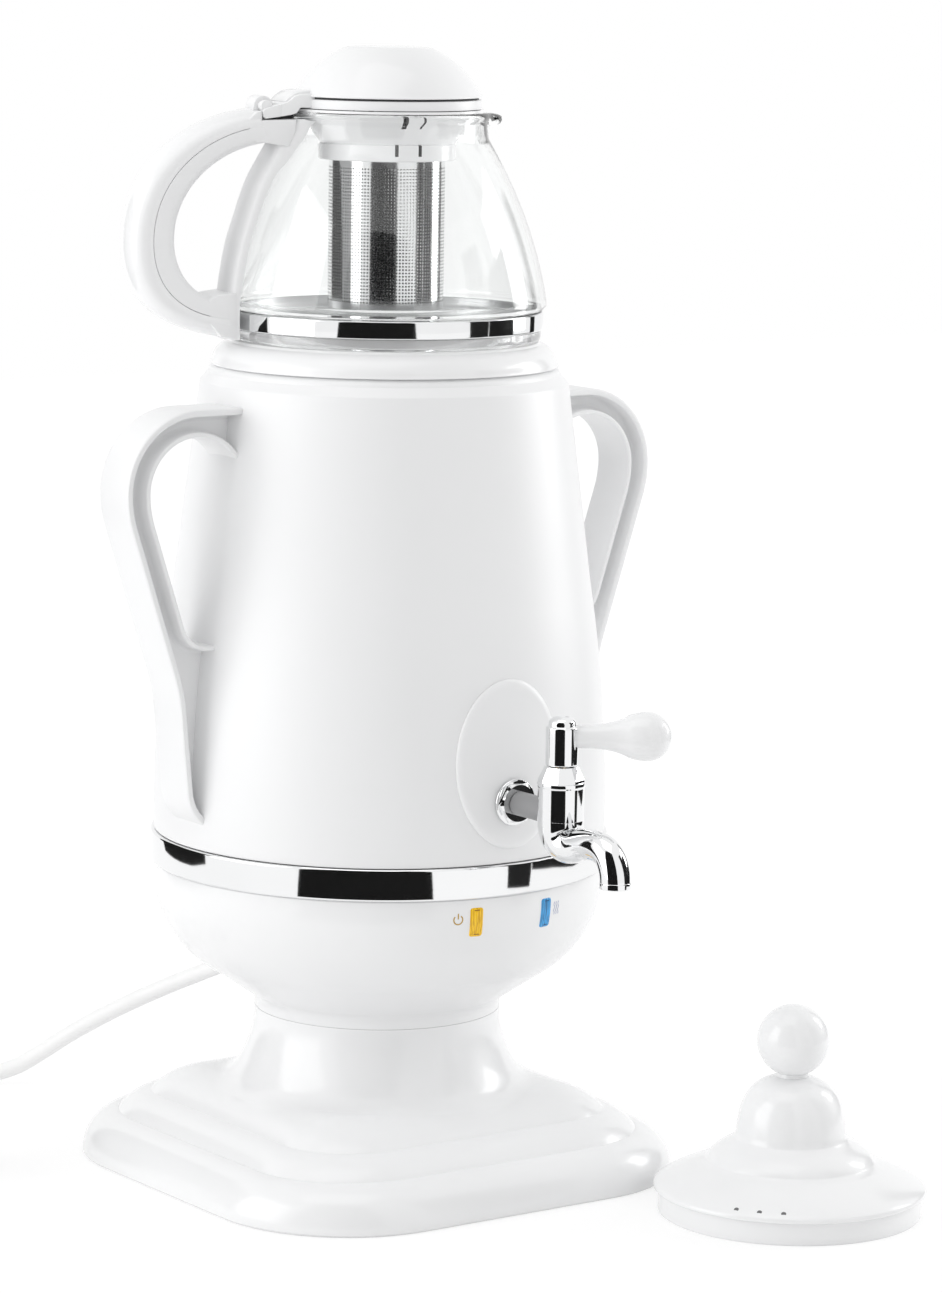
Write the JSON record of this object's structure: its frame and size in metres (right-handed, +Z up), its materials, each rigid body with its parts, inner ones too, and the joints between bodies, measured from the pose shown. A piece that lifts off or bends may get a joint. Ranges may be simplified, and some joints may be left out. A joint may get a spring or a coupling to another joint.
{
  "type": "electric samovar with glass teapot",
  "caption": "White electric samovar with a chrome tap, two side handles and a stepped square base, a glass teapot with strainer on top and its own lid beside it.",
  "frame": {"origin": "centre of the base, on the plane that it stands on", "axes": "+Z up, the tap faces -Y, the side handles are at +X and -X, the cord leaves towards +Y"},
  "size_m": [0.3449, 0.4471, 0.4663],
  "materials": {
    "body_white": "satin",
    "gloss_white": "glossy",
    "cord_white": "satin",
    "grey_plastic": "satin",
    "clear_plastic": "frosted",
    "glass": "polished",
    "chrome": "polished",
    "steel": "brushed",
    "brass": "machined",
    "aluminium": "machined",
    "rubber": "matte",
    "silicone": "matte",
    "ceramic": "matte",
    "bakelite": "satin",
    "amber_lens": "translucent",
    "blue_lens": "translucent"
  },
  "bodies": {
    "boiler": {"base_shell": "gloss_white", "bottom_cover": "body_white", "base_feet": "rubber", "base_screws": "steel", "bowl_shell": "gloss_white", "bowl_screws": "steel", "chrome_band": "chrome", "amber_lens": "amber_lens", "blue_lens": "blue_lens", "lamp_holders": "ceramic", "body_shell": "body_white", "top_collar": "gloss_white", "collar_gasket": "silicone", "water_tank": "steel", "heat_plate": "aluminium", "heating_element": "steel", "thermostats": "bakelite", "clamp_bar": "steel", "clamp_studs": "steel", "terminal_block": "ceramic", "left_handle": "body_white", "right_handle": "body_white", "handle_screws": "steel", "escutcheon": "body_white", "tap_stem": "steel", "tap_spacer": "grey_plastic", "tap_hex_nut": "chrome", "tap_back_nut": "steel", "tap_washers": "silicone", "tap_barrel": "chrome", "tap_bonnet": "chrome", "cord_gland": "cord_white", "cord": "cord_white", "cord_coil": "cord_white", "cord_tail": "cord_white", "mains_plug": "cord_white", "plug_pins": "steel"},
    "tap_key": {"valve_plug": "brass", "lever_cap": "chrome", "tap_lever": "gloss_white"},
    "teapot": {"pot_glass": "glass", "pot_foot_ring": "clear_plastic", "pot_band": "chrome", "pot_handle": "body_white", "grip_cover": "gloss_white", "hinge_pin": "steel", "strainer_holder": "body_white", "strainer_tube": "steel"},
    "teapot_lid": {"pot_lid_dome": "gloss_white", "pot_lid_skirt": "body_white", "lid_arm": "gloss_white"},
    "boiler_lid": {"tank_lid": "gloss_white", "tank_lid_ring": "gloss_white", "tank_lid_knob": "gloss_white"}
  },
  "joints": [
    {"name": "tap_turn", "type": "hinge", "parent": "boiler", "child": "tap_key", "pos_m": [0, -0.127, 0.19], "axis": [0, 0, -1], "range_deg": [0, 90]},
    {"name": "teapot_lift", "type": "slide", "parent": "boiler", "child": "teapot", "axis": [0, 0, 1], "range_m": [0, 0.15]},
    {"name": "teapot_lid_turn", "type": "hinge", "parent": "teapot", "child": "teapot_lid", "pos_m": [-0.05332, 0.01429, 0.4426], "axis": [-0.2588, -0.9659, 0], "range_deg": [0, 95]},
    {"name": "boiler_lid_lift", "type": "slide", "parent": "boiler", "child": "boiler_lid", "axis": [0, 0, 1], "range_m": [0, 0.3]}
  ]
}
